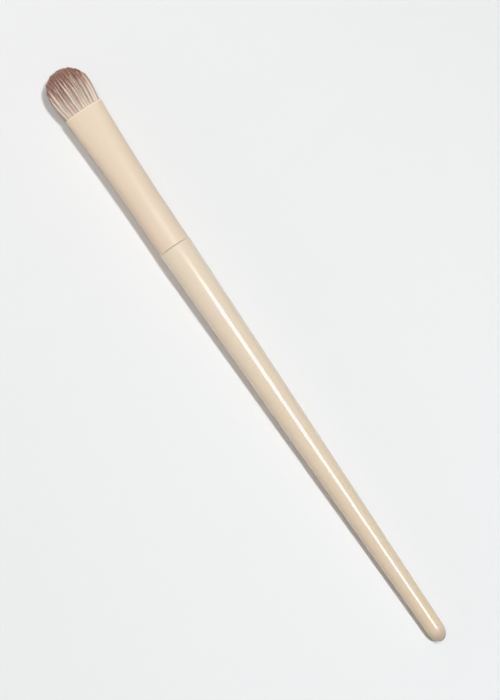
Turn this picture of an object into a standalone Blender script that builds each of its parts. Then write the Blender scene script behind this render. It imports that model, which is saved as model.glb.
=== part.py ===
"""A domed eyeshadow brush: a turned wooden handle, a tube ferrule pressed flat at its mouth, and a glued
tuft of soft bristles.

Every piece is modelled standing on the brush's own axis, with the joint of handle and ferrule at height
zero and the bristles on top. An empty then lays the whole brush down, with its bristles toward +X, its
broad faces up and down, and its thickest round just touching the ground.
"""

import math

import bmesh
import bpy
from mathutils import Vector, geometry

MM = 0.001

# The handle, from the joint down to the tip of its tail.
HANDLE_LENGTH = 117.3 * MM
SHOULDER_DIAMETER = 8.6 * MM
SHOULDER_ROUNDING = 0.3 * MM
TAIL_DIAMETER = 4.45 * MM
TAIL_ROUNDING = 3.9 * MM
CONE_STEPS = 8

# The tenon that the ferrule is pushed onto, with the grooves that its glue sits in.
TENON_LENGTH = 13.0 * MM
TENON_CHAMFER = 0.6 * MM
GLUE_RINGS = 3
GLUE_GROOVE_WIDTH = 2.0 * MM
GLUE_GROOVE_DEPTH = 0.9 * MM

# The ferrule: a drawn tube, round at the handle and pressed into an oval at its mouth. The mouth is as far
# round as the tube is, because pressing bends the metal and doesn't stretch it.
FERRULE_LENGTH = 40.5 * MM
FERRULE_DIAMETER = 8.4 * MM
FERRULE_WALL = 0.35 * MM
ROUND_STRETCH = 11.0 * MM
MOUTH_WIDTH = 10.3 * MM
MOUTH_THICKNESS = 5.5 * MM
MOUTH_SQUARENESS = 2.5
PRESSING_CURVE = 1.6
PRESSING_STEPS = 12
LIP_ROUNDING = 0.12 * MM

# The bristles, from the ferrule's mouth up to the top of their dome.
HAIR_LENGTH = 12.2 * MM
FULLEST_HEIGHT = 6.4 * MM
TUFT_WIDTH = 10.9 * MM
TUFT_THICKNESS = 6.2 * MM
TUFT_LEAN = 0.3 * MM
TIP_CLOSING = 0.04
DOME_FULLNESS = 2.2
STRAND_PITCH = 0.29 * MM
LEAST_PITCH = 0.24 * MM
STRAND_RADIUS = 0.1 * MM
STRAND_BELLY_RADIUS = 0.13 * MM
STRAND_MARGIN = 0.06 * MM
BELLY_SHARE = 0.75
STRAIGHT_OUT = 0.5 * MM

# The resin that holds the bristles' roots, and the thread that ties them before they are glued.
RESIN_DEPTH = 4.0 * MM
RESIN_SLICE = 1.2 * MM
RESIN_PLUG_LENGTH = 8.0 * MM
BINDING_TURNS = 4
THREAD_DIAMETER = 0.6 * MM

# Pieces that touch on the real brush stand this far apart.
CLEARANCE = 0.3 * MM

SEGMENTS = 44
ROUND = 2.0
TURN = math.tau
GOLDEN_TURN = TURN * (3 - math.sqrt(5)) / 2

# Worked out from the sizes above.
TENON_RADIUS = FERRULE_DIAMETER / 2 - FERRULE_WALL - CLEARANCE
GROOVE_RADIUS = TENON_RADIUS - GLUE_GROOVE_DEPTH
INNER_INSET = FERRULE_WALL + CLEARANCE
RESIN_TOP = FERRULE_LENGTH - RESIN_DEPTH
SLICE_BOTTOM = RESIN_TOP - RESIN_SLICE
PLUG_TOP = SLICE_BOTTOM - CLEARANCE
PLUG_BOTTOM = PLUG_TOP - RESIN_PLUG_LENGTH
AXIS_HEIGHT = max(SHOULDER_DIAMETER, FERRULE_DIAMETER, MOUTH_THICKNESS, TUFT_THICKNESS) / 2
WHOLE_LENGTH = HANDLE_LENGTH + FERRULE_LENGTH + HAIR_LENGTH


def between(start, end, share):
    """The value that lies this share of the way from start to end."""
    return start + (end - start) * share


def oval(half_width, half_thickness, squareness, height):
    """A level ring of points. Squareness 2 gives an ellipse, and more fills out its corners."""
    ring = []
    for step in range(SEGMENTS):
        angle = TURN * step / SEGMENTS
        across, along = math.cos(angle), math.sin(angle)
        ring.append((
            half_thickness * math.copysign(abs(across) ** (2 / squareness), across),
            half_width * math.copysign(abs(along) ** (2 / squareness), along),
            height,
        ))
    return ring


def ferrule_section(height):
    """Half the width and half the thickness of the ferrule's outside at a height, and its squareness."""
    past = max(height - ROUND_STRETCH, 0) / (FERRULE_LENGTH - ROUND_STRETCH)
    pressed = min(past, 1) ** PRESSING_CURVE
    return (
        between(FERRULE_DIAMETER, MOUTH_WIDTH, pressed) / 2,
        between(FERRULE_DIAMETER, MOUTH_THICKNESS, pressed) / 2,
        between(ROUND, MOUTH_SQUARENESS, pressed),
    )


def ferrule_ring(height, inset):
    """A ring that follows the ferrule's outside at a height, this far inside it."""
    half_width, half_thickness, squareness = ferrule_section(height)
    return oval(half_width - inset, half_thickness - inset, squareness, height)


def skin(rings, closed=False):
    """A mesh over a stack of rings that runs up its outer side. A closed stack comes round to its first
    ring, as a tube's wall does, and an open one is capped at both ends."""
    bm = bmesh.new()
    loops = [[bm.verts.new(point) for point in ring] for ring in rings]
    uppers = loops[1:] + loops[:1] if closed else loops[1:]
    for lower, upper in zip(loops, uppers):
        for near in range(SEGMENTS):
            far = (near + 1) % SEGMENTS
            bm.faces.new((lower[near], lower[far], upper[far], upper[near]))
    if not closed:
        bm.faces.new(reversed(loops[0]))
        bm.faces.new(loops[-1])
    return bm


def arc(centre, radius, start, end, steps):
    """Points along an arc in a profile's plane, with its angles from the outward direction."""
    angles = [between(start, end, step / steps) for step in range(steps + 1)]
    return [(centre[0] + radius * math.cos(a), centre[1] + radius * math.sin(a)) for a in angles]


def add_object(name, bm, material, axis):
    """Turns a finished bmesh into a named object that lies along the brush's axis."""
    mesh = bpy.data.meshes.new(name)
    bm.to_mesh(mesh)
    bm.free()
    mesh.shade_smooth()
    mesh.set_sharp_from_angle(angle=math.radians(40))
    mesh.materials.append(material)
    piece = bpy.data.objects.new(name, mesh)
    bpy.context.scene.collection.objects.link(piece)
    piece.parent = axis
    return piece


def add_turned(name, profile, material, axis, closed=False):
    """A piece turned on the lathe, from a profile of (radius, height) that runs down its outer side."""
    bm = bmesh.new()
    corners = [bm.verts.new((radius, 0, height)) for radius, height in profile]
    ends = corners[1:] + corners[:1] if closed else corners[1:]
    for start, end in zip(corners, ends):
        bm.edges.new((start, end))
    piece = add_object(name, bm, material, axis)
    turning = piece.modifiers.new("turning", "SCREW")
    turning.axis = "Z"
    turning.steps = turning.render_steps = SEGMENTS
    turning.use_merge_vertices = True
    turning.merge_threshold = 0.001 * MM
    return piece


def make_material(name, colour, roughness, metallic=0.0):
    material = bpy.data.materials.new(name)
    material.use_nodes = True
    shader = material.node_tree.nodes["Principled BSDF"]
    shader.inputs["Base Color"].default_value = (*colour, 1)
    shader.inputs["Roughness"].default_value = roughness
    shader.inputs["Metallic"].default_value = metallic
    return material


def lay_down():
    """The empty that carries the brush. The middle of the brush's length comes over the origin."""
    axis = bpy.data.objects.new("brush_axis", None)
    bpy.context.scene.collection.objects.link(axis)
    middle = FERRULE_LENGTH + HAIR_LENGTH - WHOLE_LENGTH / 2
    axis.location = (-middle, 0, AXIS_HEIGHT)
    axis.rotation_euler = (0, math.radians(90), 0)
    return axis


def groove_middle(index):
    """The height of a glue groove. The grooves share the tenon evenly."""
    return TENON_LENGTH * (index + 0.5) / GLUE_RINGS


def make_handle(axis, material):
    profile = [
        (0, TENON_LENGTH),
        (TENON_RADIUS - TENON_CHAMFER, TENON_LENGTH),
        (TENON_RADIUS, TENON_LENGTH - TENON_CHAMFER),
    ]
    for index in reversed(range(GLUE_RINGS)):
        top = groove_middle(index) + GLUE_GROOVE_WIDTH / 2
        bottom = groove_middle(index) - GLUE_GROOVE_WIDTH / 2
        profile += [(TENON_RADIUS, top), (GROOVE_RADIUS, top), (GROOVE_RADIUS, bottom), (TENON_RADIUS, bottom)]

    shoulder = -CLEARANCE
    cone_top = shoulder - SHOULDER_ROUNDING
    cone_bottom = TAIL_ROUNDING - HANDLE_LENGTH
    rounding_middle = (SHOULDER_DIAMETER / 2 - SHOULDER_ROUNDING, cone_top)
    profile.append((TENON_RADIUS, shoulder))
    profile += arc(rounding_middle, SHOULDER_ROUNDING, TURN / 4, 0, steps=3)
    for step in range(1, CONE_STEPS):
        share = step / CONE_STEPS
        radius = between(SHOULDER_DIAMETER, TAIL_DIAMETER, share) / 2
        profile.append((radius, between(cone_top, cone_bottom, share)))
    for radius, height in arc((0, 0), 1, 0, -TURN / 4, steps=8):
        profile.append((radius * TAIL_DIAMETER / 2, cone_bottom + height * TAIL_ROUNDING))
    profile[-1] = (0, -HANDLE_LENGTH)
    add_turned("handle", profile, material, axis)


def make_glue_rings(axis, material):
    """The glue that fills each groove and grips the inside of the ferrule."""
    inner = GROOVE_RADIUS + CLEARANCE
    half_height = GLUE_GROOVE_WIDTH / 2 - CLEARANCE
    for index in range(GLUE_RINGS):
        middle = groove_middle(index)
        profile = [
            (inner, middle + half_height),
            (TENON_RADIUS, middle + half_height),
            (TENON_RADIUS, middle - half_height),
            (inner, middle - half_height),
        ]
        add_turned(f"glue_ring_{index + 1}", profile, material, axis, closed=True)


def make_ferrule(axis, material):
    lip = arc((LIP_ROUNDING, FERRULE_LENGTH - LIP_ROUNDING), LIP_ROUNDING, TURN / 2, TURN / 4, steps=3)
    pressed = [
        between(ROUND_STRETCH, FERRULE_LENGTH - LIP_ROUNDING, step / PRESSING_STEPS)
        for step in range(PRESSING_STEPS)
    ]
    outside = [(0, LIP_ROUNDING)] + [(0, height) for height in pressed]
    inside = [(FERRULE_WALL, height) for height in reversed(pressed)]
    around = [
        *outside,
        *lip,
        (FERRULE_WALL, FERRULE_LENGTH),
        *inside,
        (FERRULE_WALL, 0),
        (LIP_ROUNDING, 0),
    ]
    rings = [ferrule_ring(height, inset) for inset, height in around]
    add_object("ferrule", skin(rings, closed=True), material, axis)


def make_resin_plug(axis, material):
    """The resin behind the bristles, with the waist that the thread draws in."""
    waist_half = BINDING_TURNS * THREAD_DIAMETER / 2 + CLEARANCE
    middle = (PLUG_TOP + PLUG_BOTTOM) / 2
    waist_inset = INNER_INSET + THREAD_DIAMETER + CLEARANCE
    around = [
        (INNER_INSET, PLUG_BOTTOM),
        (INNER_INSET, middle - waist_half),
        (waist_inset, middle - waist_half),
        (waist_inset, middle + waist_half),
        (INNER_INSET, middle + waist_half),
        (INNER_INSET, PLUG_TOP),
    ]
    rings = [ferrule_ring(height, inset) for inset, height in around]
    add_object("resin_plug", skin(rings), material, axis)


def make_root_binding(axis, material):
    """Turns of thread side by side round the roots, ridged where each turn stands out."""
    bottom = (PLUG_TOP + PLUG_BOTTOM - BINDING_TURNS * THREAD_DIAMETER) / 2
    inner_inset = INNER_INSET + THREAD_DIAMETER
    valley_inset = INNER_INSET + THREAD_DIAMETER / 3
    outside = []
    for turn in range(BINDING_TURNS):
        start = bottom + turn * THREAD_DIAMETER
        outside += [(valley_inset, start), (INNER_INSET, start + THREAD_DIAMETER / 2)]
    top = bottom + BINDING_TURNS * THREAD_DIAMETER
    around = [*outside, (valley_inset, top), (inner_inset, top), (inner_inset, bottom)]
    rings = [ferrule_ring(height, inset) for inset, height in around]
    add_object("root_binding", skin(rings, closed=True), material, axis)


def tuft_half_sizes(height):
    """How far the outermost strands stand from the middle at a height, across the width and the thickness,
    with how far the tuft leans there."""
    half_width, half_thickness, _ = ferrule_section(height)
    half_width -= INNER_INSET + STRAND_RADIUS + STRAND_MARGIN
    half_thickness -= INNER_INSET + STRAND_RADIUS + STRAND_MARGIN
    out = max(height - FERRULE_LENGTH, 0)
    spread = math.sin(TURN / 4 * min(out / FULLEST_HEIGHT, 1))
    past = max(out - FULLEST_HEIGHT, 0) / (HAIR_LENGTH - FULLEST_HEIGHT)
    closing = 1 - TIP_CLOSING * past**2
    return (
        between(half_width, TUFT_WIDTH / 2, spread) * closing,
        between(half_thickness, TUFT_THICKNESS / 2, spread) * closing,
        TUFT_LEAN * spread,
    )


def strand_shares():
    """Where each strand stands, as shares of the tuft's half thickness and half width. The strands lie in
    rings one inside the other, a pitch apart, and evenly along each ring, but for places too near a strand
    that is already there, as at the ends of the narrow inner rings."""
    half_width, half_thickness, _ = tuft_half_sizes(RESIN_TOP)
    _, _, squareness = ferrule_section(RESIN_TOP)
    strands = []
    for ring in range(math.ceil(half_thickness / STRAND_PITCH)):
        inward = ring * STRAND_PITCH
        outline = oval(half_width - inward, half_thickness - inward, squareness, 0)
        corners = [Vector(point) for point in outline]
        ends = corners[1:] + corners[:1]
        girth = sum((end - start).length for start, end in zip(corners, ends))
        count = round(girth / STRAND_PITCH)
        stagger = 0.5 * (ring % 2)
        targets = [(index + stagger) * girth / count for index in range(count)]
        walked = 0
        for start, end in zip(corners, ends):
            stretch = (end - start).length
            while targets and targets[0] < walked + stretch:
                place = start.lerp(end, (targets.pop(0) - walked) / stretch)
                if all((place - other).length > LEAST_PITCH for other in strands):
                    strands.append(place)
            walked += stretch
    return [(place.x / half_thickness, place.y / half_width) for place in strands]


def strand_point(share, height):
    """Where a strand's middle is at a height."""
    half_width, half_thickness, lean = tuft_half_sizes(height)
    return Vector((share[0] * half_thickness, share[1] * half_width - lean, height))


def tip_height(share):
    """The dome's height over the joint, above a strand's place."""
    from_middle = min(math.hypot(*share), 1)
    rise = (1 - from_middle**DOME_FULLNESS) ** (1 / DOME_FULLNESS)
    return FERRULE_LENGTH + between(FULLEST_HEIGHT, HAIR_LENGTH, rise)


def triangle_round(middle, radius, turned):
    """The three corners of a strand's section."""
    angles = [turned + TURN * corner / 3 for corner in range(3)]
    return [middle + Vector((math.cos(a), math.sin(a), 0)) * radius for a in angles]


def make_bristle_tuft(axis, material):
    """Three-sided strands that rise from a slice of the resin, each tapering to a point on the dome."""
    bm = bmesh.new()
    bottom = [bm.verts.new(point) for point in ferrule_ring(SLICE_BOTTOM, INNER_INSET)]
    rim = [bm.verts.new(point) for point in ferrule_ring(RESIN_TOP, INNER_INSET)]
    bm.faces.new(reversed(bottom))
    for near in range(SEGMENTS):
        far = (near + 1) % SEGMENTS
        bm.faces.new((bottom[near], bottom[far], rim[far], rim[near]))

    top = list(rim)
    for index, share in enumerate(strand_shares()):
        tip = tip_height(share)
        belly = between(FERRULE_LENGTH, tip, BELLY_SHARE)
        stations = [
            (RESIN_TOP, STRAND_RADIUS),
            (FERRULE_LENGTH + STRAIGHT_OUT, STRAND_RADIUS),
            (belly, STRAND_BELLY_RADIUS),
        ]
        turned = index * GOLDEN_TURN
        rings = [
            [bm.verts.new(corner) for corner in triangle_round(strand_point(share, height), radius, turned)]
            for height, radius in stations
        ]
        point = bm.verts.new(strand_point(share, tip))
        top += rings[0]
        for side in range(3):
            beside = (side + 1) % 3
            for lower, upper in zip(rings, rings[1:]):
                bm.faces.new((lower[side], lower[beside], upper[beside], upper[side]))
            bm.faces.new((rings[-1][side], rings[-1][beside], point))

    # The slice's top is flat between the roots: triangles that leave each strand's own section out.
    rim_edges = [(near, (near + 1) % SEGMENTS) for near in range(SEGMENTS)]
    root_edges = [
        (first + side, first + (side + 1) % 3) for first in range(SEGMENTS, len(top), 3) for side in range(3)
    ]
    flat = [vert.co.xy for vert in top]
    _, _, faces, sources, _, _ = geometry.delaunay_2d_cdt(flat, rim_edges + root_edges, [], 1, 0)
    original = [source[0] for source in sources]
    for face in faces:
        corners = [original[corner] for corner in face]
        strands = {(corner - SEGMENTS) // 3 for corner in corners}
        if len(strands) > 1 or min(corners) < SEGMENTS:
            bm.faces.new([top[corner] for corner in corners])
    add_object("bristle_tuft", bm, material, axis)


def main():
    for old in list(bpy.data.objects):
        bpy.data.objects.remove(old)

    lacquered_wood = make_material("cream_lacquered_wood", (0.80, 0.66, 0.49), roughness=0.15)
    painted_metal = make_material("cream_painted_aluminium", (0.84, 0.71, 0.54), roughness=0.45)
    bristle = make_material("brown_bristle", (0.30, 0.17, 0.12), roughness=0.6)
    resin = make_material("amber_resin", (0.45, 0.30, 0.12), roughness=0.3)
    thread = make_material("undyed_thread", (0.75, 0.72, 0.65), roughness=0.9)
    glue = make_material("wood_glue", (0.70, 0.62, 0.40), roughness=0.4)

    axis = lay_down()
    make_handle(axis, lacquered_wood)
    make_glue_rings(axis, glue)
    make_ferrule(axis, painted_metal)
    make_resin_plug(axis, resin)
    make_root_binding(axis, thread)
    make_bristle_tuft(axis, bristle)


main()
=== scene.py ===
"""The looks of a domed eyeshadow brush: a lacquered handle, a satin painted ferrule and a tuft of fine
bristles, lying on a pale floor under soft lamps and a strip lamp."""

import math

import bmesh
import bpy
from mathutils import Matrix, Vector


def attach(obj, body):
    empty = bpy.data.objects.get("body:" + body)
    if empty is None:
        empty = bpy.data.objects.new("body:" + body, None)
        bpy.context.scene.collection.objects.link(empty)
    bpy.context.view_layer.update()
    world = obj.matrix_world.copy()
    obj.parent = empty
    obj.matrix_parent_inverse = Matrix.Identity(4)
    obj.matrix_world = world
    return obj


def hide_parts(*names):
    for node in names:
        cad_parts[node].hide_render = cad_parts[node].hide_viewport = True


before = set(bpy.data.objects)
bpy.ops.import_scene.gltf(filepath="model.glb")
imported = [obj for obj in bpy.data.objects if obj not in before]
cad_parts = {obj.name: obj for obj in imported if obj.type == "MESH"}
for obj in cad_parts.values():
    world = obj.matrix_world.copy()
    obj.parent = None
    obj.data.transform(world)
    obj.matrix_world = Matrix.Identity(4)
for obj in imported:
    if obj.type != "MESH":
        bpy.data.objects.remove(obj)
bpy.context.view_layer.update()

MM = 0.001
TURN = math.tau

# Places along the brush, in the part's frame: +X runs towards the bristles.
JOINT_X = 32.1 * MM
MOUTH_X = 72.8 * MM
TAIL_X = -85.0 * MM
AXIS_Z = 4.3 * MM

# The handle.
SHOULDER_RADIUS = 4.3 * MM
SHOULDER_ROUNDING = 0.08 * MM
JOINT_GAP = 0.02 * MM
TAIL_RADIUS = 2.225 * MM
TAIL_ROUNDING = 3.7 * MM
TAIL_BLUNTNESS = 2.15
TENON_LENGTH = 13.0 * MM
TENON_RADIUS = 3.55 * MM
TENON_CHAMFER = 0.6 * MM
GLUE_GROOVES = 3
GROOVE_WIDTH = 2.0 * MM
GROOVE_DEPTH = 0.9 * MM

# The ferrule.
FERRULE_RADIUS = 4.2 * MM
FERRULE_WALL = 0.35 * MM
ROUND_STRETCH = 11.0 * MM
MOUTH_HALF_WIDTH = 5.15 * MM
MOUTH_HALF_THICKNESS = 2.75 * MM
MOUTH_SQUARENESS = 2.25
PRESSING_CURVE = 1.6
CUT_DIP = 0.11 * MM
CUT_DIP_CURVE = 1.5
MOUTH_SWAY = 0.27 * MM
LIP_FLARE = 0.14 * MM
FLARE_LENGTH = 3.5 * MM
LIP_ROUNDING = 0.15 * MM
# How far back from the mouth the painted highlight on the lip reaches.
LIP_HIGHLIGHT_REACH = 0.45 * MM
TUBE_END_ROUNDING = 0.05 * MM

# The bristles, from the resin that they stand in to the top of their dome.
BRISTLE_PIECES = 4
BRISTLES_PER_PIECE = 2600
ROOT_DEPTH = 4.0 * MM
RESIN_SLICE = 1.2 * MM
RESIN_GAP = 0.05 * MM
BRISTLE_LENGTH = 12.4 * MM
FULLEST_HEIGHT = 6.4 * MM
FULLEST_HALF_WIDTH = 5.6 * MM
FULLEST_HALF_THICKNESS = 3.08 * MM
LEAN = 0.29 * MM
BRISTLE_ROOT_RADIUS = 0.045 * MM
BRISTLE_TIP_RADIUS = 0.04 * MM

# How the bristles are spread. A power of 0.5 would be even, and this one packs them a little closer towards
# the rim. They are shaken by these shares of the tuft's radius, out or in, and of a radian round it, and
# each piece of the tuft is turned by so many radians from the one before.
SPREAD_POWER = 0.47
SHAKE_OUT = 0.02
SHAKE_ROUND = 0.03
TURN_PER_PIECE = 1.7
GOLDEN_TURN = TURN * (3 - math.sqrt(5)) / 2

# What makes a lock darker or paler: the band it is in, how far the bands wander, and its own chance.
BAND_TONE = 0.32
BAND_WANDER = 0.4
LOCK_TONE = 0.5

# How far the seed of a bristle's length, tone and wave is from the seed of its place.
CHANCE_SEED_STEP = 100.0

# Each bristle's slow wave, and the share of the lean that is taken back by the dome's top.
WAVE_LENGTH = 16.0 * MM
WAVE_START_TURNS = 5
LEAN_TAKEN_BACK = 1.3

# The texture map of a piece of the tuft: a strip for each bristle, and the margins inside a strip. Corners
# of faces lie left, in the middle and right in it by turns, and the middle ones are moved up a little, so
# that the bristle's end caps have room on the map too.
MAP_COLUMNS = 128.0
MAP_ROWS = 24.0
STRIP_SIDE_MARGIN = 0.2
STRIP_END_MARGIN = 0.08
MIDDLE_CORNER_SHIFT = 0.03

# How finely the turned and the pressed piece, and the bristles, are made.
ROUND_STEPS = 160
TUBE_STEPS = 60
CONE_STEPS = 48
TAIL_STEPS = 24
SHOULDER_STEPS = 8
LIP_STEPS = 10
TUBE_END_STEPS = 4
BRISTLE_STEPS = 12
BRISTLE_SIDES = 3

# The brush lies on its tail and its shoulder, so that the floor rises towards the tail as the handle tapers.
FLOOR_SLOPE = math.atan((SHOULDER_RADIUS - TAIL_RADIUS) / (JOINT_X - TAIL_X - TAIL_ROUNDING))
FLOOR_HALF_SIZE = 6.0
FLOOR_GAP = 0.02 * MM

# The floor runs on into a backdrop of the same pale grey, between these distances from the brush's middle.
PALE_GREY = "F0F0F0"
BACKDROP_START = 160.0 * MM
BACKDROP_END = 450.0 * MM

# The photograph's view: what lies in its middle, the way that is up in it, how the camera stands, and its
# lens in millimetres.
VIEW_MIDDLE = Vector((0.64 * MM, -1.0 * MM, AXIS_Z))
VIEW_UP = Vector((0.8262, -0.5634, 0))
CAMERA_DISTANCE = 0.5
CAMERA_TILT = math.radians(2.49)
CAMERA_LENS = 104.2

# Kinds of nodes, and settings of them, that come back often.
MATH = "ShaderNodeMath"
RANGE = "ShaderNodeMapRange"
MIX = "ShaderNodeMix"
NOISE = "ShaderNodeTexNoise"
SEPARATE = "ShaderNodeSeparateXYZ"
COLOURS = {"data_type": "RGBA"}
SOFT_ENDS = {"interpolation_type": "SMOOTHSTEP"}
CLAMPED = {"use_clamp": True}
ADD = {"operation": "ADD"}
SUBTRACT = {"operation": "SUBTRACT"}
MULTIPLY = {"operation": "MULTIPLY"}
MULTIPLY_ADD = {"operation": "MULTIPLY_ADD"}
DIVIDE = {"operation": "DIVIDE"}
POWER = {"operation": "POWER"}
SINE = {"operation": "SINE"}
COSINE = {"operation": "COSINE"}
MAXIMUM = {"operation": "MAXIMUM"}
MODULO = {"operation": "MODULO"}


def linear(colour):
    """A colour for a socket, from its sRGB hex value."""
    channels = [int(colour[place:place + 2], 16) / 255 for place in (0, 2, 4)]
    return (*[c / 12.92 if c <= 0.04045 else ((c + 0.055) / 1.055) ** 2.4 for c in channels], 1)


def add_node(tree, kind, settings=None, inputs=None):
    """Adds a node to a tree with its settings, and fills its inputs with values or links. A node given as
    an input is linked from its first output that is in use."""
    node = tree.nodes.new(kind)
    for name, value in (settings or {}).items():
        setattr(node, name, value)
    for key, value in (inputs or {}).items():
        socket = node.inputs[key]
        if isinstance(key, str):
            socket = next((s for s in node.inputs if key in (s.name, s.identifier) and s.enabled), socket)
        if isinstance(value, bpy.types.Node):
            value = next(output for output in value.outputs if output.enabled)
        if isinstance(value, bpy.types.NodeSocket):
            tree.links.new(value, socket)
        else:
            socket.default_value = value
    return node


def new_material(name, sockets):
    """A material with a Principled BSDF, and the values that are the same all over its surface."""
    material = bpy.data.materials.new(name)
    material.use_nodes = True
    shader = material.node_tree.nodes["Principled BSDF"]
    for socket, value in sockets.items():
        shader.inputs[socket].default_value = value
    return material, material.node_tree, shader


def cream_lacquer():
    """Lacquer sprayed in many coats on turned birch and polished: a deep clear gloss over warm cream, with
    the faint orange peel that spraying leaves and a breath of cloudiness in the colour."""
    material, tree, shader = new_material("sprayed_cream_lacquer", {
        "Roughness": 0.5,
        "IOR": 1.5,
        "Coat Weight": 1.0,
        "Coat Roughness": 0.1,
        "Coat IOR": 1.52,
    })
    place = add_node(tree, "ShaderNodeTexCoord").outputs["Object"]
    along = add_node(tree, SEPARATE, None, {"Vector": place}).outputs["X"]
    cloud = add_node(tree, NOISE, None, {"Vector": place, "Scale": 1 / (9 * MM), "Detail": 3.0})
    cloudy = add_node(tree, MIX, COLOURS, {"Factor": cloud, "A": linear("E5D2B9"), "B": linear("E9D8C1")})
    # Painted shade: the lacquer is painted darker towards the tail, and darkest round its tip,
    # where the light falls off and the rounded tip turns away from it.
    tail_shade_mask = add_node(tree, RANGE, None, {"Value": along, "From Min": JOINT_X, "From Max": TAIL_X})
    painted_tail_shade = add_node(tree, MIX, COLOURS, {"Factor": tail_shade_mask, "A": cloudy, "B": linear("D9C4A5")})
    tip_shade_mask = add_node(tree, RANGE, SOFT_ENDS, {
        "Value": along,
        "From Min": TAIL_X + TAIL_ROUNDING,
        "From Max": TAIL_X,
    })
    lacquered = add_node(tree, MIX, COLOURS, {"Factor": tip_shade_mask, "A": painted_tail_shade, "B": linear("B8A186")})
    # The tenon was masked when the handle was sprayed, so it is unlacquered birch with glue on it; its dark
    # brown is also painted shade for the gap at the joint, where it shows.
    bare_tenon_and_gap_shade = add_node(tree, MATH, {"operation": "GREATER_THAN"}, {0: along, 1: JOINT_X - JOINT_GAP / 2})
    colour = add_node(tree, MIX, COLOURS, {"Factor": bare_tenon_and_gap_shade, "A": lacquered, "B": linear("6E5236")})
    peel = add_node(tree, NOISE, None, {"Vector": place, "Scale": 1 / (1.1 * MM), "Detail": 1.0})
    relief = add_node(tree, "ShaderNodeBump", None, {
        "Strength": 0.2,
        "Distance": 0.004 * MM,
        "Height": peel,
    })
    tree.links.new(colour.outputs[2], shader.inputs["Base Color"])
    tree.links.new(relief.outputs["Normal"], shader.inputs["Coat Normal"])
    return material


def satin_paint():
    """Cream paint baked on a drawn aluminium tube: satin, so that the lamps spread wide on it, with the
    finest grain of its pigment."""
    material, tree, shader = new_material("satin_paint_on_aluminium", {
        "IOR": 1.5,
        "Specular IOR Level": 0.65,
    })
    place = add_node(tree, "ShaderNodeTexCoord").outputs["Object"]
    along = add_node(tree, SEPARATE, None, {"Vector": place}).outputs["X"]
    cloud = add_node(tree, NOISE, None, {"Vector": place, "Scale": 1 / (12 * MM), "Detail": 3.0})
    painted = add_node(tree, MIX, COLOURS, {"Factor": cloud, "A": linear("E7D2B9"), "B": linear("EAD6BF")})
    # Painted highlight: the rolled lip is painted paler and warmer, where it catches the light.
    lip = add_node(tree, RANGE, SOFT_ENDS, {
        "Value": along,
        "From Min": MOUTH_X - LIP_HIGHLIGHT_REACH,
        "From Max": MOUTH_X - LIP_ROUNDING,
    })
    colour = add_node(tree, MIX, COLOURS, {"Factor": lip, "A": painted, "B": linear("F7E8CA")})
    grain = add_node(tree, NOISE, None, {"Vector": place, "Scale": 1 / (0.18 * MM), "Detail": 2.0})
    roughness = add_node(tree, RANGE, None, {"Value": grain, "To Min": 0.34, "To Max": 0.44})
    relief = add_node(tree, "ShaderNodeBump", None, {
        "Strength": 0.2,
        "Distance": 0.004 * MM,
        "Height": grain,
    })
    tree.links.new(colour.outputs[2], shader.inputs["Base Color"])
    tree.links.new(roughness.outputs["Result"], shader.inputs["Roughness"])
    tree.links.new(relief.outputs["Normal"], shader.inputs["Normal"])
    return material


def dyed_bristle():
    """Fine polyester fibre: mauve brown to the tips, with paler fibres among it that are cream from the
    ferrule to past the middle, and a soft shine along each fibre. The cream is partly painted sheen, and the
    darker locks are partly painted shade for the gaps between locks."""
    material, tree, shader = new_material("drawn_polyester_fibre", {
        "Roughness": 0.42,
        "IOR": 1.55,
    })
    along, tone, lock, lock_two = (
        add_node(tree, "ShaderNodeAttribute", {"attribute_name": name}).outputs["Fac"]
        for name in ("along", "tone", "lock", "lock_two")
    )
    dye = add_node(tree, "ShaderNodeValToRGB", None, {"Fac": along})
    stops = {0.0: "FBE0C9", 0.3: "F2CFB7", 0.5: "DDB19B", 0.68: "B88674", 0.85: "B88C7B", 1.0: "C6A899"}
    ramp = dye.color_ramp.elements
    while len(ramp) < len(stops):
        ramp.new(0.5)
    for element, (where, colour) in zip(ramp, stops.items()):
        element.position = where
        element.color = linear(colour)
    # Each lock of fibres, and each fibre in it, is a little darker or paler than the next: partly tone that
    # differs at random, partly painted shade for the gaps between locks.
    fibre_share = 0.4
    darkest, palest = 0.5, 1.36
    shade = add_node(tree, MATH, MULTIPLY_ADD, {0: tone, 1: fibre_share, 2: lock})
    level = add_node(tree, RANGE, None, {
        "Value": shade,
        "From Max": 1 + fibre_share,
        "To Min": darkest,
        "To Max": palest,
    })
    shaded = add_node(tree, MIX, {**COLOURS, "blend_type": "MULTIPLY"}, {
        "Factor": 1.0,
        "A": dye.outputs["Color"],
        "B": level,
    })
    # The palest of them are the cream fibres, their cream partly a painted sheen along them, and each is pale
    # to its own height, counted in tuft lengths.
    cream_from, cream_to = 0.64, 0.73
    least_reach = 0.4
    reach_by_lock = 0.4
    reach_by_fibre = 0.25
    fade_length = 0.3
    pale = add_node(tree, RANGE, SOFT_ENDS, {"Value": shade, "From Min": cream_from, "From Max": cream_to})
    lock_reach = add_node(tree, MATH, MULTIPLY_ADD, {0: lock_two, 1: reach_by_lock, 2: least_reach})
    reach = add_node(tree, MATH, MULTIPLY_ADD, {0: tone, 1: reach_by_fibre, 2: lock_reach})
    remaining = add_node(tree, MATH, SUBTRACT, {0: reach, 1: along})
    fade = add_node(tree, RANGE, SOFT_ENDS, {"Value": remaining, "From Max": fade_length})
    cream = add_node(tree, MATH, MULTIPLY, {0: pale, 1: fade})
    colour = add_node(tree, MIX, COLOURS, {"Factor": cream, "A": shaded, "B": linear("FFF3E8")})
    tree.links.new(colour.outputs[2], shader.inputs["Base Color"])
    return material


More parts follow.
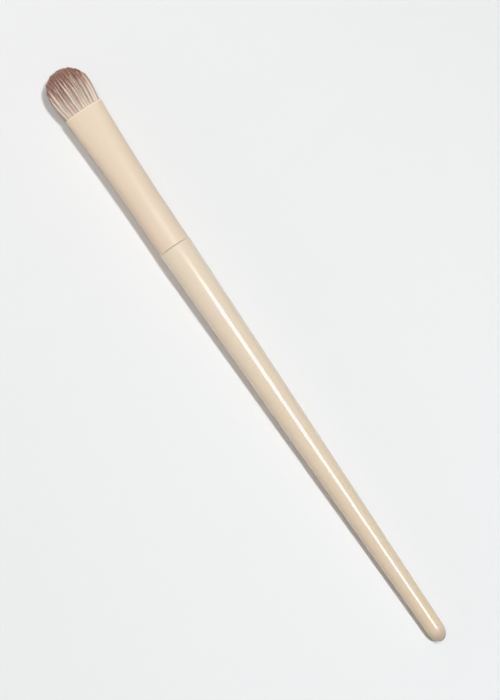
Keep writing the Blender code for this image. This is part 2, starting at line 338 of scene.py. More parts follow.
def cast_resin():
    """Epoxy poured round the bristles' roots: cloudy amber with a smooth skin."""
    material, tree, shader = new_material("cast_amber_epoxy", {"Roughness": 0.3, "IOR": 1.55})
    place = add_node(tree, "ShaderNodeTexCoord").outputs["Object"]
    cloud = add_node(tree, NOISE, None, {"Vector": place, "Scale": 1 / (1.5 * MM), "Detail": 4.0})
    colour = add_node(tree, MIX, COLOURS, {"Factor": cloud, "A": linear("A8793C"), "B": linear("C99A5A")})
    tree.links.new(colour.outputs[2], shader.inputs["Base Color"])
    return material


def twisted_thread():
    """Undyed cotton thread, twisted, with its plies showing as slanting ridges about 1 mm apart."""
    material, tree, shader = new_material("undyed_cotton_thread", {
        "Roughness": 0.9,
        "Specular IOR Level": 0.2,
    })
    place = add_node(tree, "ShaderNodeTexCoord").outputs["Object"]
    plies = add_node(tree, "ShaderNodeTexWave", {"bands_direction": "DIAGONAL"}, {
        "Vector": place,
        "Scale": 1 / (3 * MM),
        "Distortion": 1.0,
    }).outputs["Fac"]
    colour = add_node(tree, MIX, COLOURS, {"Factor": plies, "A": linear("C9BFA9"), "B": linear("E8E1D0")})
    relief = add_node(tree, "ShaderNodeBump", None, {"Distance": 0.05 * MM, "Height": plies})
    tree.links.new(colour.outputs[2], shader.inputs["Base Color"])
    tree.links.new(relief.outputs["Normal"], shader.inputs["Normal"])
    return material


def set_glue():
    """Wood glue, set hard in the tenon's grooves: yellowish, with small bubbles."""
    material, tree, shader = new_material("set_wood_glue", {"Roughness": 0.4, "IOR": 1.48})
    place = add_node(tree, "ShaderNodeTexCoord").outputs["Object"]
    bubbles = add_node(tree, "ShaderNodeTexVoronoi", None, {"Vector": place, "Scale": 1 / (0.7 * MM)})
    colour = add_node(tree, MIX, COLOURS, {
        "Factor": bubbles.outputs["Distance"],
        "A": linear("E2D3A2"),
        "B": linear("C9B67E"),
    })
    tree.links.new(colour.outputs[2], shader.inputs["Base Color"])
    return material


def is_seen(tree):
    """1 where the camera, a mirroring surface or a clear one looks, and 0 for light on its way about."""
    path = add_node(tree, "ShaderNodeLightPath").outputs
    seen = add_node(tree, MATH, MAXIMUM, {0: path["Is Camera Ray"], 1: path["Is Glossy Ray"]})
    return add_node(tree, MATH, MAXIMUM, {0: seen, 1: path["Is Transmission Ray"]})


def paper_floor():
    """Matt background paper: a pale neutral grey where it is seen, and a darker one for the light that it
    throws back, as in a dark room. Away from the brush it runs on into the pale backdrop."""
    material, tree, shader = new_material("matt_grey_paper", {"Roughness": 1.0, "Specular IOR Level": 0.0})
    seen = is_seen(tree)
    grey = add_node(tree, MIX, COLOURS, {"Factor": seen, "A": linear("BCBCBC"), "B": linear(PALE_GREY)})
    tree.links.new(grey.outputs[2], shader.inputs["Base Color"])
    place = add_node(tree, "ShaderNodeTexCoord").outputs["Object"]
    distance = add_node(tree, "ShaderNodeVectorMath", {"operation": "LENGTH"}, {0: place})
    away = add_node(tree, RANGE, SOFT_ENDS, {
        "Value": distance,
        "From Min": BACKDROP_START,
        "From Max": BACKDROP_END,
    })
    surface = add_node(tree, "ShaderNodeMixShader", None, {
        0: add_node(tree, MATH, MULTIPLY, {0: seen, 1: away}),
        1: shader,
        2: add_node(tree, "ShaderNodeEmission", None, {"Color": linear(PALE_GREY)}),
    })
    tree.links.new(surface.outputs[0], tree.nodes["Material Output"].inputs["Surface"])
    return material


def link(name, data):
    """Puts a mesh, a lamp or a camera in the scene."""
    thing = bpy.data.objects.new(name, data)
    bpy.context.scene.collection.objects.link(thing)
    return thing


def arc(centre, radius, start, end, steps):
    """Points along an arc, with its angles counted from the direction of the first coordinate."""
    angles = [start + (end - start) * step / steps for step in range(steps + 1)]
    return [(centre[0] + radius * math.cos(a), centre[1] + radius * math.sin(a)) for a in angles]


def finish_mesh(name, bm, material, sharp_angle=35):
    """Makes a smoothly shaded piece, with the edges past this many degrees left sharp."""
    bmesh.ops.recalc_face_normals(bm, faces=bm.faces)
    mesh = bpy.data.meshes.new(name)
    bm.to_mesh(mesh)
    bm.free()
    mesh.shade_smooth()
    mesh.set_sharp_from_angle(angle=math.radians(sharp_angle))
    mesh.materials.append(material)
    return link(name, mesh)


def skin_rings(rings, closed=False):
    """Quads over a stack of rings. A ring of one point closes that end, and a closed stack comes back to
    its first ring, as a tube's wall does."""
    bm = bmesh.new()
    loops = [[bm.verts.new(point) for point in ring] for ring in rings]
    uppers = loops[1:] + loops[:1] if closed else loops[1:]
    for lower, upper in zip(loops, uppers):
        for near in range(ROUND_STEPS):
            far = (near + 1) % ROUND_STEPS
            corners = [lower[near % len(lower)], lower[far % len(lower)]]
            corners += [upper[far % len(upper)], upper[near % len(upper)]]
            bm.faces.new(list(dict.fromkeys(corners)))
    return bm


def make_handle(material):
    """The turned handle with its tenon, from the tip of its tail to the end inside the ferrule."""
    shoulder = JOINT_X - JOINT_GAP
    cone_end = TAIL_X + TAIL_ROUNDING
    profile = [(TAIL_X, 0)]
    for along, out in arc((0, 0), 1, TURN / 2, TURN / 4, TAIL_STEPS)[1:-1]:
        blunt = [abs(part) ** (2 / TAIL_BLUNTNESS) for part in (along, out)]
        profile.append((cone_end - blunt[0] * TAIL_ROUNDING, blunt[1] * TAIL_RADIUS))
    profile.append((cone_end, TAIL_RADIUS))
    cone_length = shoulder - SHOULDER_ROUNDING - cone_end
    cone_growth = SHOULDER_RADIUS - TAIL_RADIUS
    for step in range(1, CONE_STEPS):
        share = step / CONE_STEPS
        profile.append((cone_end + cone_length * share, TAIL_RADIUS + cone_growth * share))
    rounding_middle = (shoulder - SHOULDER_ROUNDING, SHOULDER_RADIUS - SHOULDER_ROUNDING)
    profile += arc(rounding_middle, SHOULDER_ROUNDING, TURN / 4, 0, SHOULDER_STEPS)
    profile.append((shoulder, TENON_RADIUS))
    for index in range(GLUE_GROOVES):
        middle = JOINT_X + TENON_LENGTH * (index + 0.5) / GLUE_GROOVES
        near, far = middle - GROOVE_WIDTH / 2, middle + GROOVE_WIDTH / 2
        floor = TENON_RADIUS - GROOVE_DEPTH
        profile += [(near, TENON_RADIUS), (near, floor), (far, floor), (far, TENON_RADIUS)]
    end = JOINT_X + TENON_LENGTH
    profile += [(end - TENON_CHAMFER, TENON_RADIUS), (end, TENON_RADIUS - TENON_CHAMFER), (end, 0)]
    angles = [TURN * step / ROUND_STEPS for step in range(ROUND_STEPS)]
    rings = []
    for along, radius in profile:
        if radius == 0:
            rings.append([(along, 0, AXIS_Z)])
        else:
            rings.append([(along, radius * math.sin(a), AXIS_Z + radius * math.cos(a)) for a in angles])
    return finish_mesh("lacquered_handle", skin_rings(rings), material)


def ferrule_ring(along, inset):
    """A ring that follows the ferrule's outside at a place along the brush, this far inside it. The tube's
    cut end dips a little on top, it is set on the handle a little out of line, and its lip flares."""
    past = max(along - JOINT_X - ROUND_STRETCH, 0) / (MOUTH_X - JOINT_X - ROUND_STRETCH)
    pressed = min(past, 1) ** PRESSING_CURVE
    flared = max(along - MOUTH_X + FLARE_LENGTH, 0) / FLARE_LENGTH
    dip = CUT_DIP * max(1 - (along - JOINT_X) / ROUND_STRETCH, 0)
    widened = (MOUTH_HALF_WIDTH - FERRULE_RADIUS) * pressed
    flattened = (MOUTH_HALF_THICKNESS - FERRULE_RADIUS) * pressed
    half_width = FERRULE_RADIUS + widened + LIP_FLARE * flared ** 2 - inset
    half_thickness = FERRULE_RADIUS + flattened - inset
    power = 2 / (2 + (MOUTH_SQUARENESS - 2) * pressed)
    sway = MOUTH_SWAY * (along - JOINT_X) / (MOUTH_X - JOINT_X)
    ring = []
    for step in range(ROUND_STEPS):
        across, up = math.sin(TURN * step / ROUND_STEPS), math.cos(TURN * step / ROUND_STEPS)
        ring.append((
            along + dip * max(up, 0) ** CUT_DIP_CURVE,
            half_width * math.copysign(abs(across) ** power, across) - sway,
            AXIS_Z + half_thickness * math.copysign(abs(up) ** power, up),
        ))
    return ring


def make_ferrule(material):
    """The pressed tube, with its cut end rounded a little at the handle and its lip rolled at the mouth."""
    start = JOINT_X + TUBE_END_ROUNDING
    end = MOUTH_X - LIP_ROUNDING
    places = [start + (end - start) * step / TUBE_STEPS for step in range(TUBE_STEPS + 1)]
    outside = [(place, 0) for place in places[1:-1]]
    inside = [(place, FERRULE_WALL) for place in reversed(places[1:-1])]
    cut = arc((start, TUBE_END_ROUNDING), TUBE_END_ROUNDING, TURN / 2, TURN * 3 / 4, TUBE_END_STEPS)
    lip = arc((end, LIP_ROUNDING), LIP_ROUNDING, -TURN / 4, TURN / 4, LIP_STEPS)
    around = cut + outside + lip + inside + [(JOINT_X, FERRULE_WALL)]
    rings = [ferrule_ring(place, inset) for place, inset in around]
    return finish_mesh("painted_ferrule", skin_rings(rings, closed=True), material, sharp_angle=50)


def make_root_slice(material):
    """The slice of resin that the bristles stand in."""
    top = MOUTH_X - ROOT_DEPTH
    bottom = top - RESIN_SLICE
    rims = [ferrule_ring(place, FERRULE_WALL + RESIN_GAP) for place in (bottom, top)]
    rings = [[(bottom, 0, AXIS_Z)], *rims, [(top, 0, AXIS_Z)]]
    return finish_mesh("root_resin", skin_rings(rings), material)


def half_sizes(ring):
    """Half the width and half the thickness of a ring."""
    return [(max(point[axis] for point in ring) - min(point[axis] for point in ring)) / 2 for axis in (1, 2)]


# What a tree that grows bristles is told, by the kind of its inputs.
BRISTLE_INPUTS = {
    "NodeSocketMaterial": ["Material"],
    "NodeSocketInt": ["Bristles", "Seed", "Steps"],
    "NodeSocketFloat": [
        "Mouth",
        "Axis height",
        "Root depth",
        "Root half width",
        "Root half thickness",
        "Mouth half width",
        "Mouth half thickness",
        "Full half width",
        "Full half thickness",
        "Full height",
        "Length",
        "Sway",
        "Lean",
        "Root radius",
        "Tip radius",
        "Lock size",
        "Lock depth ratio",
        "Patch size",
        "Band size",
        "Lock pull",
        "Lock drift",
        "Waviness",
        "Uneven patches",
        "Uneven locks",
        "Uneven ends",
        "Squareness",
        "Dome fullness",
        "Tip closing",
    ],
}


def spread_in_disc(tree, size, number):
    """Where each bristle stands in a disc of radius 1: a sunflower's even spread, shaken a little, turned by
    the seed, and squared as the ferrule's mouth is."""
    counted = add_node(tree, MATH, ADD, {0: number, 1: 0.5})
    share = add_node(tree, MATH, DIVIDE, {0: counted, 1: size["Bristles"]})
    even = add_node(tree, MATH, POWER, {0: share, 1: SPREAD_POWER})
    shake = add_node(tree, "FunctionNodeRandomValue", {"data_type": "FLOAT_VECTOR"}, {
        "Min": (-SHAKE_OUT, -SHAKE_ROUND, 0),
        "Max": (SHAKE_OUT, SHAKE_ROUND, 1),
        "ID": number,
        "Seed": size["Seed"],
    })
    shaken = add_node(tree, SEPARATE, None, {"Vector": shake}).outputs
    moved = add_node(tree, MATH, ADD, {0: even, 1: shaken["X"]})
    reach = add_node(tree, "ShaderNodeClamp", None, {"Value": moved})
    seed_turn = add_node(tree, MATH, MULTIPLY_ADD, {0: size["Seed"], 1: TURN_PER_PIECE, 2: shaken["Y"]})
    bearing = add_node(tree, MATH, MULTIPLY_ADD, {0: number, 1: GOLDEN_TURN, 2: seed_turn})
    cosine = add_node(tree, MATH, COSINE, {0: bearing})
    sine = add_node(tree, MATH, SINE, {0: bearing})
    powers = []
    for part in (cosine, sine):
        plain = add_node(tree, MATH, {"operation": "ABSOLUTE"}, {0: part})
        powers.append(add_node(tree, MATH, POWER, {0: plain, 1: size["Squareness"]}))
    total = add_node(tree, MATH, ADD, {0: powers[0], 1: powers[1]})
    inverse = add_node(tree, MATH, DIVIDE, {0: -1.0, 1: size["Squareness"]})
    swell = add_node(tree, MATH, POWER, {0: total, 1: inverse})
    radius = add_node(tree, MATH, MULTIPLY, {0: reach, 1: swell})
    wide = add_node(tree, MATH, MULTIPLY, {0: radius, 1: cosine})
    thick = add_node(tree, MATH, MULTIPLY, {0: radius, 1: sine})
    return reach, wide, thick


def gather_in_locks(tree, size, wide, thick):
    """The values that a bristle has from its lock, and one from its patch of the tuft. Locks are the cells of
    a Voronoi pattern across the tuft, drawn out so that a lock is a few times as deep as it is wide."""
    cell_half_thickness = add_node(tree, MATH, DIVIDE, {
        0: size["Full half thickness"],
        1: size["Lock depth ratio"],
    })
    lock_place = add_node(tree, "ShaderNodeCombineXYZ", None, {
        "X": add_node(tree, MATH, MULTIPLY, {0: wide, 1: size["Full half width"]}),
        "Y": add_node(tree, MATH, MULTIPLY, {0: thick, 1: cell_half_thickness}),
    })
    locks = add_node(tree, "ShaderNodeTexVoronoi", {"voronoi_dimensions": "2D"}, {
        "Vector": lock_place,
        "Scale": add_node(tree, MATH, DIVIDE, {0: 1.0, 1: size["Lock size"]}),
    })
    middle = add_node(tree, SEPARATE, None, {"Vector": locks.outputs["Position"]}).outputs
    chance = add_node(tree, SEPARATE, None, {"Vector": locks.outputs["Color"]}).outputs
    patches = add_node(tree, NOISE, {"noise_dimensions": "2D"}, {
        "Vector": lock_place,
        "Scale": add_node(tree, MATH, DIVIDE, {0: 1.0, 1: size["Patch size"]}),
        "Detail": 0.0,
    })
    patch = add_node(tree, SEPARATE, None, {"Vector": patches.outputs["Color"]}).outputs
    # The locks are darker and paler by turns across the tuft, but not evenly; in the fibre's colour the dark
    # bands are partly painted shade and the pale ones partly painted sheen.
    band_count = add_node(tree, MATH, DIVIDE, {0: middle["X"], 1: size["Band size"]})
    band_shift = add_node(tree, MATH, MULTIPLY_ADD, {0: patch["X"], 1: BAND_WANDER, 2: band_count})
    band_turn = add_node(tree, MATH, MULTIPLY, {0: band_shift, 1: TURN})
    band = add_node(tree, MATH, SINE, {0: band_turn})
    own_tone = add_node(tree, MATH, MULTIPLY_ADD, {0: chance["X"], 1: LOCK_TONE, 2: (1 - LOCK_TONE) / 2})
    by_lock = {
        "lock_wide": add_node(tree, MATH, DIVIDE, {0: middle["X"], 1: size["Full half width"]}),
        "lock_thick": add_node(tree, MATH, DIVIDE, {0: middle["Y"], 1: cell_half_thickness}),
        "lock": add_node(tree, MATH, {**MULTIPLY_ADD, **CLAMPED}, {0: band, 1: BAND_TONE, 2: own_tone}),
        "lock_two": chance["Y"],
        "lock_three": chance["Z"],
    }
    return by_lock, patch["Y"]


def dome_heights(tree, size, reach, patch, lock, chance):
    """How far from the mouth each bristle ends: on a dome that falls away from the middle, less what its
    patch, its lock and the bristle itself are short of it."""
    fallen = add_node(tree, MATH, POWER, {0: reach, 1: size["Dome fullness"]})
    remaining = add_node(tree, MATH, SUBTRACT, {0: 1.0, 1: fallen})
    rise_power = add_node(tree, MATH, DIVIDE, {0: 1.0, 1: size["Dome fullness"]})
    rise = add_node(tree, MATH, POWER, {0: remaining, 1: rise_power})
    end = add_node(tree, RANGE, None, {
        "Value": rise,
        "To Min": size["Full height"],
        "To Max": size["Length"],
    })
    own = add_node(tree, MATH, POWER, {0: chance, 1: 2.0})
    for share, most in ((patch, "Uneven patches"), (lock, "Uneven locks"), (own, "Uneven ends")):
        short_by = add_node(tree, MATH, MULTIPLY, {0: share, 1: size[most]})
        end = add_node(tree, MATH, SUBTRACT, {0: end, 1: short_by})
    return end


def plant(tree, size, kept):
    """A straight line of points for each bristle, with the values that are kept for it."""
    points = add_node(tree, "GeometryNodePoints", None, {"Count": size["Bristles"]})
    for name, value in kept.items():
        points = add_node(tree, "GeometryNodeStoreNamedAttribute", {"domain": "POINT"}, {
            "Geometry": points,
            "Name": name,
            "Value": value,
        })
    straight = add_node(tree, "GeometryNodeCurvePrimitiveLine", None, {"End": (0, 0, 1)})
    stepped = add_node(tree, "GeometryNodeResampleCurve", None, {"Curve": straight, "Count": size["Steps"]})
    planted = add_node(tree, "GeometryNodeInstanceOnPoints", None, {"Points": points, "Instance": stepped})
    return add_node(tree, "GeometryNodeRealizeInstances", None, {"Geometry": planted})


def bend(tree, size, lines):
    """Bends each line out of the root, past the mouth, to the fullest place and in again a little, drawn
    towards its lock's middle and waving, and gives it three sides."""
    names = ("wide", "thick", "lock_wide", "lock_thick", "lock_two", "lock_three", "tip", "phase")
    own = {name: add_node(tree, "GeometryNodeInputNamedAttribute", None, {"Name": name}) for name in names}
    factor = add_node(tree, "GeometryNodeSplineParameter").outputs["Factor"]
    whole = add_node(tree, MATH, ADD, {0: own["tip"], 1: size["Root depth"]})
    height = add_node(tree, MATH, MULTIPLY, {0: whole, 1: factor})
    out = add_node(tree, MATH, SUBTRACT, {0: height, 1: size["Root depth"]})
    inside = add_node(tree, MATH, {**DIVIDE, **CLAMPED}, {0: height, 1: size["Root depth"]})
    bent = add_node(tree, MATH, {**DIVIDE, **CLAMPED}, {0: out, 1: size["Full height"]})
    quarter = add_node(tree, MATH, MULTIPLY, {0: bent, 1: TURN / 4})
    spread = add_node(tree, MATH, SINE, {0: quarter})
    past = add_node(tree, RANGE, None, {
        "Value": out,
        "From Min": size["Full height"],
        "From Max": size["Length"],
    })
    squared = add_node(tree, MATH, POWER, {0: past, 1: 2.0})
    closed_by = add_node(tree, MATH, MULTIPLY, {0: squared, 1: size["Tip closing"]})
    closing = add_node(tree, MATH, SUBTRACT, {0: 1.0, 1: closed_by})
    halves = []
    for way in ("width", "thickness"):
        low = add_node(tree, RANGE, None, {
            "Value": inside,
            "To Min": size[f"Root half {way}"],
            "To Max": size[f"Mouth half {way}"],
        })
        full = add_node(tree, RANGE, None, {
            "Value": spread,
            "To Min": low,
            "To Max": size[f"Full half {way}"],
        })
        halves.append(add_node(tree, MATH, MULTIPLY, {0: full, 1: closing}))

    # The locks draw together between the mouth and the fullest place, and stay so to their tips.
    # Each lock drifts its own way, and sideways it drifts most in the middle, where it has room.
    pull = add_node(tree, MATH, MULTIPLY, {0: bent, 1: size["Lock pull"]})
    drift = add_node(tree, MATH, MULTIPLY, {0: spread, 1: size["Lock drift"]})
    edge = add_node(tree, MATH, POWER, {0: own["lock_wide"], 1: 2.0})
    room = add_node(tree, MATH, SUBTRACT, {0: 1.0, 1: edge})
    side_room = add_node(tree, MATH, MULTIPLY, {0: room, 1: 2.0})
    side_drift = add_node(tree, MATH, MULTIPLY, {0: drift, 1: side_room})
    places = []
    for single, gathered, half, way, reach_out in (
        ("wide", "lock_wide", halves[0], "lock_two", side_drift),
        ("thick", "lock_thick", halves[1], "lock_three", drift),
    ):
        drawn = add_node(tree, MIX, None, {"Factor": pull, "A": own[single], "B": own[gathered]})
        placed = add_node(tree, MATH, MULTIPLY, {0: drawn, 1: half})
        own_way = add_node(tree, MATH, SUBTRACT, {0: own[way], 1: 0.5})
        places.append(add_node(tree, MATH, MULTIPLY_ADD, {0: own_way, 1: reach_out, 2: placed}))

    # A slow wave of its own on each bristle.
    travel = add_node(tree, MATH, MULTIPLY, {0: out, 1: TURN / WAVE_LENGTH})
    start = add_node(tree, MATH, MULTIPLY, {0: own["phase"], 1: TURN * WAVE_START_TURNS})
    swing = add_node(tree, MATH, ADD, {0: travel, 1: start})
    wave_size = add_node(tree, MATH, MULTIPLY, {0: spread, 1: size["Waviness"]})
    waves = []
    for operation in (SINE, COSINE):
        part = add_node(tree, MATH, operation, {0: swing})
        waves.append(add_node(tree, MATH, MULTIPLY, {0: part, 1: wave_size}))

    across = add_node(tree, MATH, ADD, {0: places[0], 1: waves[0]})
    leant = add_node(tree, RANGE, None, {"Value": spread, "To Min": size["Sway"], "To Max": size["Lean"]})
    upright = add_node(tree, MATH, MULTIPLY_ADD, {0: squared, 1: -LEAN_TAKEN_BACK, 2: 1.0})
    lean = add_node(tree, MATH, MULTIPLY, {0: leant, 1: upright})
    above = add_node(tree, MATH, ADD, {0: places[1], 1: waves[1]})
    where = add_node(tree, "ShaderNodeCombineXYZ", None, {
        "X": add_node(tree, MATH, ADD, {0: out, 1: size["Mouth"]}),
        "Y": add_node(tree, MATH, SUBTRACT, {0: across, 1: lean}),
        "Z": add_node(tree, MATH, ADD, {0: above, 1: size["Axis height"]}),
    })
    marked = add_node(tree, "GeometryNodeSetPosition", None, {"Geometry": lines, "Position": where})

    # How far each point is past the mouth, as a share of the tuft's length, and along its own bristle.
    along = add_node(tree, MATH, DIVIDE, {0: out, 1: size["Length"]})
    for name, value in (("along", along), ("factor", factor)):
        marked = add_node(tree, "GeometryNodeStoreNamedAttribute", {"domain": "POINT"}, {
            "Geometry": marked,
            "Name": name,
            "Value": value,
        })
    tilted = add_node(tree, "GeometryNodeSetCurveTilt", None, {"Curve": marked, "Tilt": start})
    taper = add_node(tree, MATH, POWER, {0: factor, 1: 3.0})
    girth = add_node(tree, RANGE, None, {
        "Value": taper,
        "To Min": size["Root radius"],
        "To Max": size["Tip radius"],
    })
    section = add_node(tree, "GeometryNodeCurvePrimitiveCircle", None, {
        "Resolution": BRISTLE_SIDES,
        "Radius": 1.0,
    })
    return add_node(tree, "GeometryNodeCurveToMesh", None, {
        "Curve": tilted,
        "Profile Curve": section,
        "Scale": girth,
        "Fill Caps": True,
    })


def map_strips(tree, solid):
    """Gives each bristle a small upright strip of its own on the texture map."""
    number, factor = (
        add_node(tree, "GeometryNodeInputNamedAttribute", None, {"Name": name})
        for name in ("number", "factor")
    )
    column = add_node(tree, MATH, MODULO, {0: number, 1: MAP_COLUMNS})
    row_share = add_node(tree, MATH, DIVIDE, {0: number, 1: MAP_COLUMNS})
    row = add_node(tree, MATH, {"operation": "FLOOR"}, {0: row_share})
    corner_number = add_node(tree, "GeometryNodeInputIndex")
    corner = add_node(tree, MATH, MODULO, {0: corner_number, 1: BRISTLE_SIDES})
    inset = add_node(tree, RANGE, None, {
        "Value": corner,
        "From Max": BRISTLE_SIDES - 1,
        "To Min": STRIP_SIDE_MARGIN,
        "To Max": 1 - STRIP_SIDE_MARGIN,
    })
    column_place = add_node(tree, MATH, ADD, {0: column, 1: inset})
    climb = add_node(tree, RANGE, None, {
        "Value": factor,
        "To Min": STRIP_END_MARGIN,
        "To Max": 1 - STRIP_END_MARGIN,
    })
    middle_corner = add_node(tree, MATH, {"operation": "COMPARE"}, {0: corner, 1: 1.0, 2: 0.5})
    climbed = add_node(tree, MATH, MULTIPLY_ADD, {0: middle_corner, 1: MIDDLE_CORNER_SHIFT, 2: climb})
    row_place = add_node(tree, MATH, ADD, {0: row, 1: climbed})
    map_place = add_node(tree, "ShaderNodeCombineXYZ", None, {
        "X": add_node(tree, MATH, DIVIDE, {0: column_place, 1: MAP_COLUMNS}),
        "Y": add_node(tree, MATH, DIVIDE, {0: row_place, 1: MAP_ROWS}),
    })
    return add_node(tree, "GeometryNodeStoreNamedAttribute", {"domain": "CORNER", "data_type": "FLOAT2"}, {
        "Geometry": solid,
        "Name": "OFBake",
        "Value": map_place,
    })


def bristle_tree():
    """Grows bristles from a spread of points: each is a line bent along the tuft's own curve, drawn towards
    its lock's middle, cut to the dome's height and given three sides."""
    tree = bpy.data.node_groups.new("bristles", "GeometryNodeTree")
    for kind, names in BRISTLE_INPUTS.items():
        for name in names:
            tree.interface.new_socket(name, in_out="INPUT", socket_type=kind)
    tree.interface.new_socket("Mesh", in_out="OUTPUT", socket_type="NodeSocketGeometry")
    size = add_node(tree, "NodeGroupInput").outputs

    number = add_node(tree, "GeometryNodeInputIndex")
    chances = add_node(tree, "FunctionNodeRandomValue", {"data_type": "FLOAT_VECTOR"}, {
        "ID": number,
        "Seed": add_node(tree, MATH, ADD, {0: size["Seed"], 1: CHANCE_SEED_STEP}),
    })
    chance = add_node(tree, SEPARATE, None, {"Vector": chances}).outputs
    reach, wide, thick = spread_in_disc(tree, size, number)
    by_lock, patch = gather_in_locks(tree, size, wide, thick)
    tip = dome_heights(tree, size, reach, patch, by_lock["lock_three"], chance["X"])
    kept = {
        "wide": wide,
        "thick": thick,
        **by_lock,
        "tip": tip,
        "tone": chance["Y"],
        "phase": chance["Z"],
        "number": number,
    }
    solid = bend(tree, size, plant(tree, size, kept))
    mapped = map_strips(tree, solid)
    smooth = add_node(tree, "GeometryNodeSetShadeSmooth", None, {"Geometry": mapped})
    real = add_node(tree, "GeometryNodeRealizeInstances", None, {"Geometry": smooth})
    finished = add_node(tree, "GeometryNodeSetMaterial", None, {
        "Geometry": real,
        "Material": size["Material"],
    })
    add_node(tree, "NodeGroupOutput", None, {"Mesh": finished})
    return tree


def grow(name, tree, values):
    """Runs a tree with its sizes, and gives its result as a plain mesh piece."""
    maker = link(f"{name}_maker", bpy.data.meshes.new(f"{name}_maker"))
    modifier = maker.modifiers.new("maker", "NODES")
    modifier.node_group = tree
    for socket in tree.interface.items_tree:
        if socket.in_out == "INPUT":
            modifier[socket.identifier] = values[socket.name]
    depsgraph = bpy.context.evaluated_depsgraph_get()
    mesh = bpy.data.meshes.new_from_object(maker.evaluated_get(depsgraph), depsgraph=depsgraph)
    mesh.name = name
    maker.modifiers.remove(modifier)
    bpy.data.objects.remove(maker)
    return link(name, mesh)


def make_bristles(material):
    """The tuft, as a few pieces that differ only by their seed and stand among one another."""
    tree = bristle_tree()
    inset = FERRULE_WALL + BRISTLE_ROOT_RADIUS
    root_half_width, root_half_thickness = half_sizes(ferrule_ring(MOUTH_X - ROOT_DEPTH, inset))
    mouth_half_width, mouth_half_thickness = half_sizes(ferrule_ring(MOUTH_X, inset))
    values = {
        "Material": material,
        "Bristles": BRISTLES_PER_PIECE,
        "Steps": BRISTLE_STEPS,
        "Mouth": MOUTH_X,
        "Axis height": AXIS_Z,
        "Root depth": ROOT_DEPTH,
        "Root half width": root_half_width,
        "Root half thickness": root_half_thickness,
        "Mouth half width": mouth_half_width - LIP_FLARE,
        "Mouth half thickness": mouth_half_thickness,
        "Full half width": FULLEST_HALF_WIDTH,
        "Full half thickness": FULLEST_HALF_THICKNESS,
        "Full height": FULLEST_HEIGHT,
        "Length": BRISTLE_LENGTH,
        "Sway": MOUTH_SWAY,
        "Lean": LEAN,
        "Root radius": BRISTLE_ROOT_RADIUS,
        "Tip radius": BRISTLE_TIP_RADIUS,
        "Lock size": 0.17 * MM,
        "Lock depth ratio": 2.5,
        "Patch size": 0.6 * MM,
        "Band size": 0.85 * MM,
        "Lock pull": 0.6,
        "Lock drift": 0.2 * MM,
        "Waviness": 0.04 * MM,
        "Uneven patches": 0.5 * MM,
        "Uneven locks": 0.35 * MM,
        "Uneven ends": 0.8 * MM,
        "Squareness": MOUTH_SQUARENESS,
        "Dome fullness": 2.1,
        "Tip closing": 0.03,
    }
    return [grow(f"bristles_{piece + 1}", tree, {**values, "Seed": piece}) for piece in range(BRISTLE_PIECES)]


def make_floor(material):
    """A wide sheet that touches the handle at its shoulder and its tail."""
    bm = bmesh.new()
    bmesh.ops.create_grid(bm, x_segments=1, y_segments=1, size=FLOOR_HALF_SIZE)
    bm.transform(Matrix.Translation((JOINT_X, 0, -FLOOR_GAP)) @ Matrix.Rotation(FLOOR_SLOPE, 4, "Y"))
    mesh = bpy.data.meshes.new("floor")
    bm.to_mesh(mesh)
    bm.free()
    mesh.materials.append(material)
    return link("floor", mesh)


def aim(thing, place, target, up):
    """Puts a lamp or the camera at a place, looking at its target, with its own Y axis along up."""
    back = (place - target).normalized()
    right = up.cross(back).normalized()
    turned = Matrix((right, back.cross(right), back)).transposed()
    thing.matrix_world = Matrix.Translation(place) @ turned.to_4x4()


def add_camera():
    """The photograph's view: from half a metre above, a little towards the tail, with the brush aslant."""
    data = bpy.data.cameras.new("camera")
    data.lens = CAMERA_LENS
    camera = link("camera", data)
    tilt = FLOOR_SLOPE - CAMERA_TILT
    place = VIEW_MIDDLE + Vector((math.sin(tilt), 0, math.cos(tilt))) * CAMERA_DISTANCE
    aim(camera, place, VIEW_MIDDLE, VIEW_UP)
    bpy.context.scene.camera = camera


def add_lamp(name, kind, energy, place, target, **settings):
    """A lamp at a place, looking at its target, with its own Y axis along the brush."""
    data = bpy.data.lights.new(name, kind)
    data.energy = energy
    for setting, value in settings.items():
        setattr(data, setting, value)
    lamp = link(name, data)
    aim(lamp, place, target, Vector((1, 0, 0)))
    return lamp


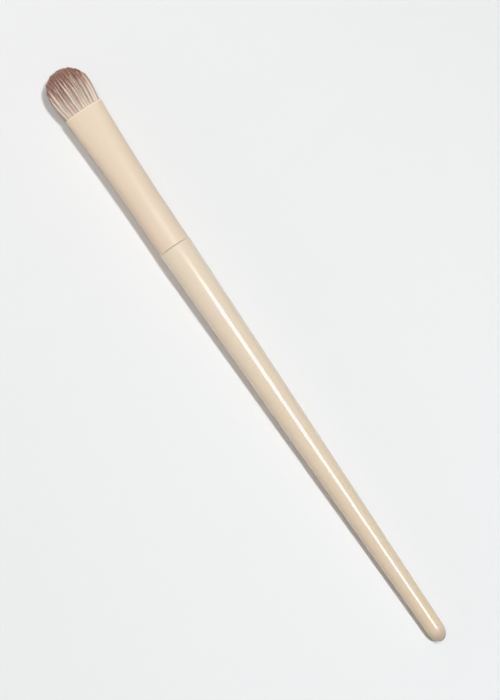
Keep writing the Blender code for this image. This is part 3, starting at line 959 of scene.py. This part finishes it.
def add_lamps(floor_up):
    """Key lamps across the brush that throw its shadow, stronger at the tail; soft lamps overhead that
    lighten the shadow, stronger at the head; and a strip lamp that lights nothing and is only mirrored."""
    def slant(degrees):
        """The way to a lamp this far from straight above the floor, on the side away from the shadow."""
        tilt = math.radians(degrees)
        return floor_up * math.cos(tilt) - Vector((0, math.sin(tilt), 0))

    cool_white = linear("F7FCFF")[:3]
    spot_distance = 1.5
    strip_distance = 2.6
    spot_cone = {"spot_size": math.radians(31.3), "spot_blend": 1.0}
    past_head = Vector((0.3, 0, 0))
    past_tail = Vector((-0.3, 0, 0))
    towards_tail = Vector((-0.05, 0, 0))
    above_head = Vector((0.2, 0, 0))
    matt_only = [
        add_lamp(
            "key_sun", "SUN", energy=1.75,
            place=slant(18.9) + towards_tail, target=Vector(),
            angle=math.radians(6), color=cool_white,
        ),
        add_lamp(
            "key_spot", "SPOT", energy=29.0,
            place=above_head + slant(17.6) * spot_distance, target=past_tail,
            shadow_soft_size=0.08, color=cool_white, **spot_cone,
        ),
        add_lamp(
            "top_sun", "SUN", energy=0.06,
            place=floor_up, target=Vector(),
            angle=math.radians(15),
        ),
        add_lamp(
            "top_spot", "SPOT", energy=31.0,
            place=past_head + floor_up * spot_distance, target=past_head,
            shadow_soft_size=0.15, **spot_cone,
        ),
    ]
    for lamp in matt_only:
        lamp.visible_glossy = False
    strip = add_lamp(
        "strip_lamp", "AREA", energy=28.0,
        place=past_tail + slant(21) * strip_distance, target=past_tail,
        shape="RECTANGLE", size=1.0, size_y=0.7,
    )
    strip.visible_diffuse = False


def add_world():
    """A pale room, brightest round its horizon, on the shadow's side and ahead of the bristles: it lights the
    brush's flanks more than the floor, and looks as pale as the floor where it is seen or mirrored."""
    world = bpy.data.worlds.new("pale_room")
    bpy.context.scene.world = world
    world.use_nodes = True
    tree = world.node_tree
    tree.nodes.clear()
    # How bright the room is from side to side, from the tail's end to the bristles' end, and from its horizon
    # up to where it has faded.
    faded_height = 0.45
    room_way = add_node(tree, "ShaderNodeTexCoord").outputs["Generated"]
    ways = add_node(tree, SEPARATE, None, {"Vector": room_way}).outputs
    across = add_node(tree, RANGE, None, {
        "Value": ways["Y"],
        "From Min": -1.0,
        "To Min": 0.3,
        "To Max": 1.65,
    })
    lengthwise = add_node(tree, RANGE, None, {
        "Value": ways["X"],
        "From Min": -1.0,
        "To Min": 0.4,
        "To Max": 1.6,
    })
    height = add_node(tree, RANGE, None, {
        "Value": ways["Z"],
        "From Max": faded_height,
        "To Min": 1.0,
        "To Max": 0.16,
    })
    around = add_node(tree, MATH, MULTIPLY, {0: across, 1: lengthwise})
    level = add_node(tree, MATH, MULTIPLY, {0: around, 1: height})
    room = add_node(tree, "ShaderNodeMixShader", None, {
        0: is_seen(tree),
        1: add_node(tree, "ShaderNodeBackground", None, {"Color": linear("FFF4EC"), "Strength": level}),
        2: add_node(tree, "ShaderNodeBackground", None, {"Color": linear(PALE_GREY), "Strength": 1.0}),
    })
    add_node(tree, "ShaderNodeOutputWorld", None, {"Surface": room})


def main():
    """Shows the handle, ferrule and tuft in place of their solids, gives the hidden pieces their materials,
    and lights them."""
    lacquer = cream_lacquer()
    paint = satin_paint()
    fibre = dyed_bristle()
    resin = cast_resin()

    handle = make_handle(lacquer)
    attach(handle, "root")
    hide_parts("handle")

    ferrule = make_ferrule(paint)
    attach(ferrule, "root")
    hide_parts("ferrule")

    root_slice = make_root_slice(resin)
    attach(root_slice, "root")
    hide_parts("bristle_tuft")

    for tuft in make_bristles(fibre):
        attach(tuft, "root")
        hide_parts("bristle_tuft")

    hidden = {"resin_plug": resin, "root_binding": twisted_thread()}
    glue = set_glue()
    hidden.update({f"glue_ring_{index + 1}": glue for index in range(GLUE_GROOVES)})
    for node, material in hidden.items():
        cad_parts[node].material_slots[0].material = material

    floor_up = Vector((math.sin(FLOOR_SLOPE), 0, math.cos(FLOOR_SLOPE)))
    make_floor(paper_floor())
    add_camera()
    add_lamps(floor_up)
    add_world()
    bpy.context.scene.view_settings.view_transform = "Standard"


main()
